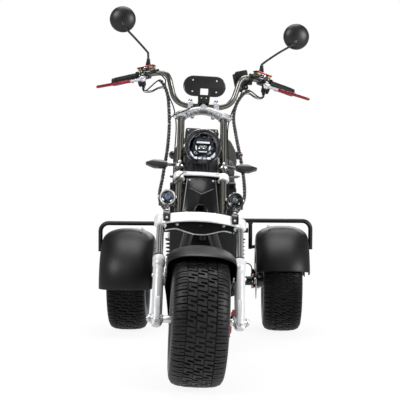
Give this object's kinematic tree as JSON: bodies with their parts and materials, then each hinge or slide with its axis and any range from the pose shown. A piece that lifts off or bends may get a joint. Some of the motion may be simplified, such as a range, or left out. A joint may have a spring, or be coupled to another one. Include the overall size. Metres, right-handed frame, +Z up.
{
  "type": "motorized trike",
  "caption": "Electric cruiser trike: fat front wheel in a raked turning fork, high handlebar, lifting saddle, and a driven rear axle with fendered fat tyres.",
  "frame": {"origin": "on the ground, below the middle of the vehicle's box", "axes": "-Y is forward, +X is the rider's left, +Z is up"},
  "size_m": [0.9826, 1.7811, 1.3796],
  "materials": {
    "black_paint": "satin",
    "black_plastic": "matt",
    "gloss_black": "gloss",
    "cast_aluminium": "silver paint on castings",
    "chrome": "polished",
    "disc_steel": "ground",
    "tyre": "matt",
    "rim_black": "satin",
    "red_anodised": "anodised",
    "saddle_leather": "grained",
    "black_rubber": "matt",
    "red_lens": "gloss",
    "smoked_lens": "gloss"
  },
  "bodies": {
    "frame": {"main_frame": "black_paint", "seat_box": "black_plastic", "foot_board": "black_plastic", "belly_tray": "black_plastic", "rear_rack": "black_paint", "tail_lamp": "red_lens", "rear_indicators": "black_plastic", "plate_holder": "black_plastic", "fender_hoops": "black_paint", "rear_fender_left": "black_plastic", "rear_fender_right": "black_plastic", "swing_arm": "black_paint", "rear_axle": "black_paint", "rear_shocks": "chrome", "rear_calipers": "red_anodised"},
    "saddle": {"saddle_pan": "black_plastic", "saddle_cushion": "saddle_leather"},
    "rear_wheel_left": {"rear_tyre_left": "tyre", "rear_rim_left": "rim_black", "rear_disc_left": "disc_steel"},
    "rear_wheel_right": {"rear_tyre_right": "tyre", "rear_rim_right": "rim_black", "rear_disc_right": "disc_steel"},
    "fork": {"lower_yoke": "cast_aluminium", "mid_yoke": "cast_aluminium", "top_yoke": "cast_aluminium", "fork_tubes": "chrome", "fork_stanchions": "chrome", "fork_sliders": "cast_aluminium", "front_axle": "disc_steel", "front_fender": "black_plastic", "front_caliper": "red_anodised", "fork_cover": "gloss_black", "wiring_box": "black_plastic", "headlamp": "gloss_black", "front_indicators": "smoked_lens", "spot_lamps": "gloss_black", "handlebar": "chrome", "bar_risers": "cast_aluminium", "grips": "black_rubber", "brake_levers": "red_anodised", "master_cylinders": "cast_aluminium", "switch_pods": "black_plastic", "phone_cradle": "black_plastic", "mirrors": "gloss_black", "instrument": "gloss_black", "cable_looms": "black_rubber"},
    "front_wheel": {"front_tyre": "tyre", "front_rim": "rim_black", "front_disc": "disc_steel"}
  },
  "joints": [
    {"name": "steer", "type": "hinge", "parent": "frame", "child": "fork", "pos_m": [0, -0.34759, 0.61955], "axis": [0, 0.5736, 0.8192], "range_deg": [-40, 30]},
    {"name": "front_wheel_spin", "type": "hinge", "parent": "fork", "child": "front_wheel", "pos_m": [0.00288, -0.66131, 0.22883], "axis": [0.9962, 0.0714, -0.05], "continuous": true},
    {"name": "rear_wheel_left_spin", "type": "hinge", "parent": "frame", "child": "rear_wheel_left", "pos_m": [0.35, 0.63859, 0.228], "axis": [1, 0, 0], "continuous": true},
    {"name": "rear_wheel_right_spin", "type": "hinge", "parent": "frame", "child": "rear_wheel_right", "pos_m": [-0.35, 0.63859, 0.228], "axis": [1, 0, 0], "continuous": true},
    {"name": "saddle_hinge", "type": "hinge", "parent": "frame", "child": "saddle", "pos_m": [0, 0.07159, 0.686], "axis": [1, 0, 0], "range_deg": [0, 55]}
  ]
}
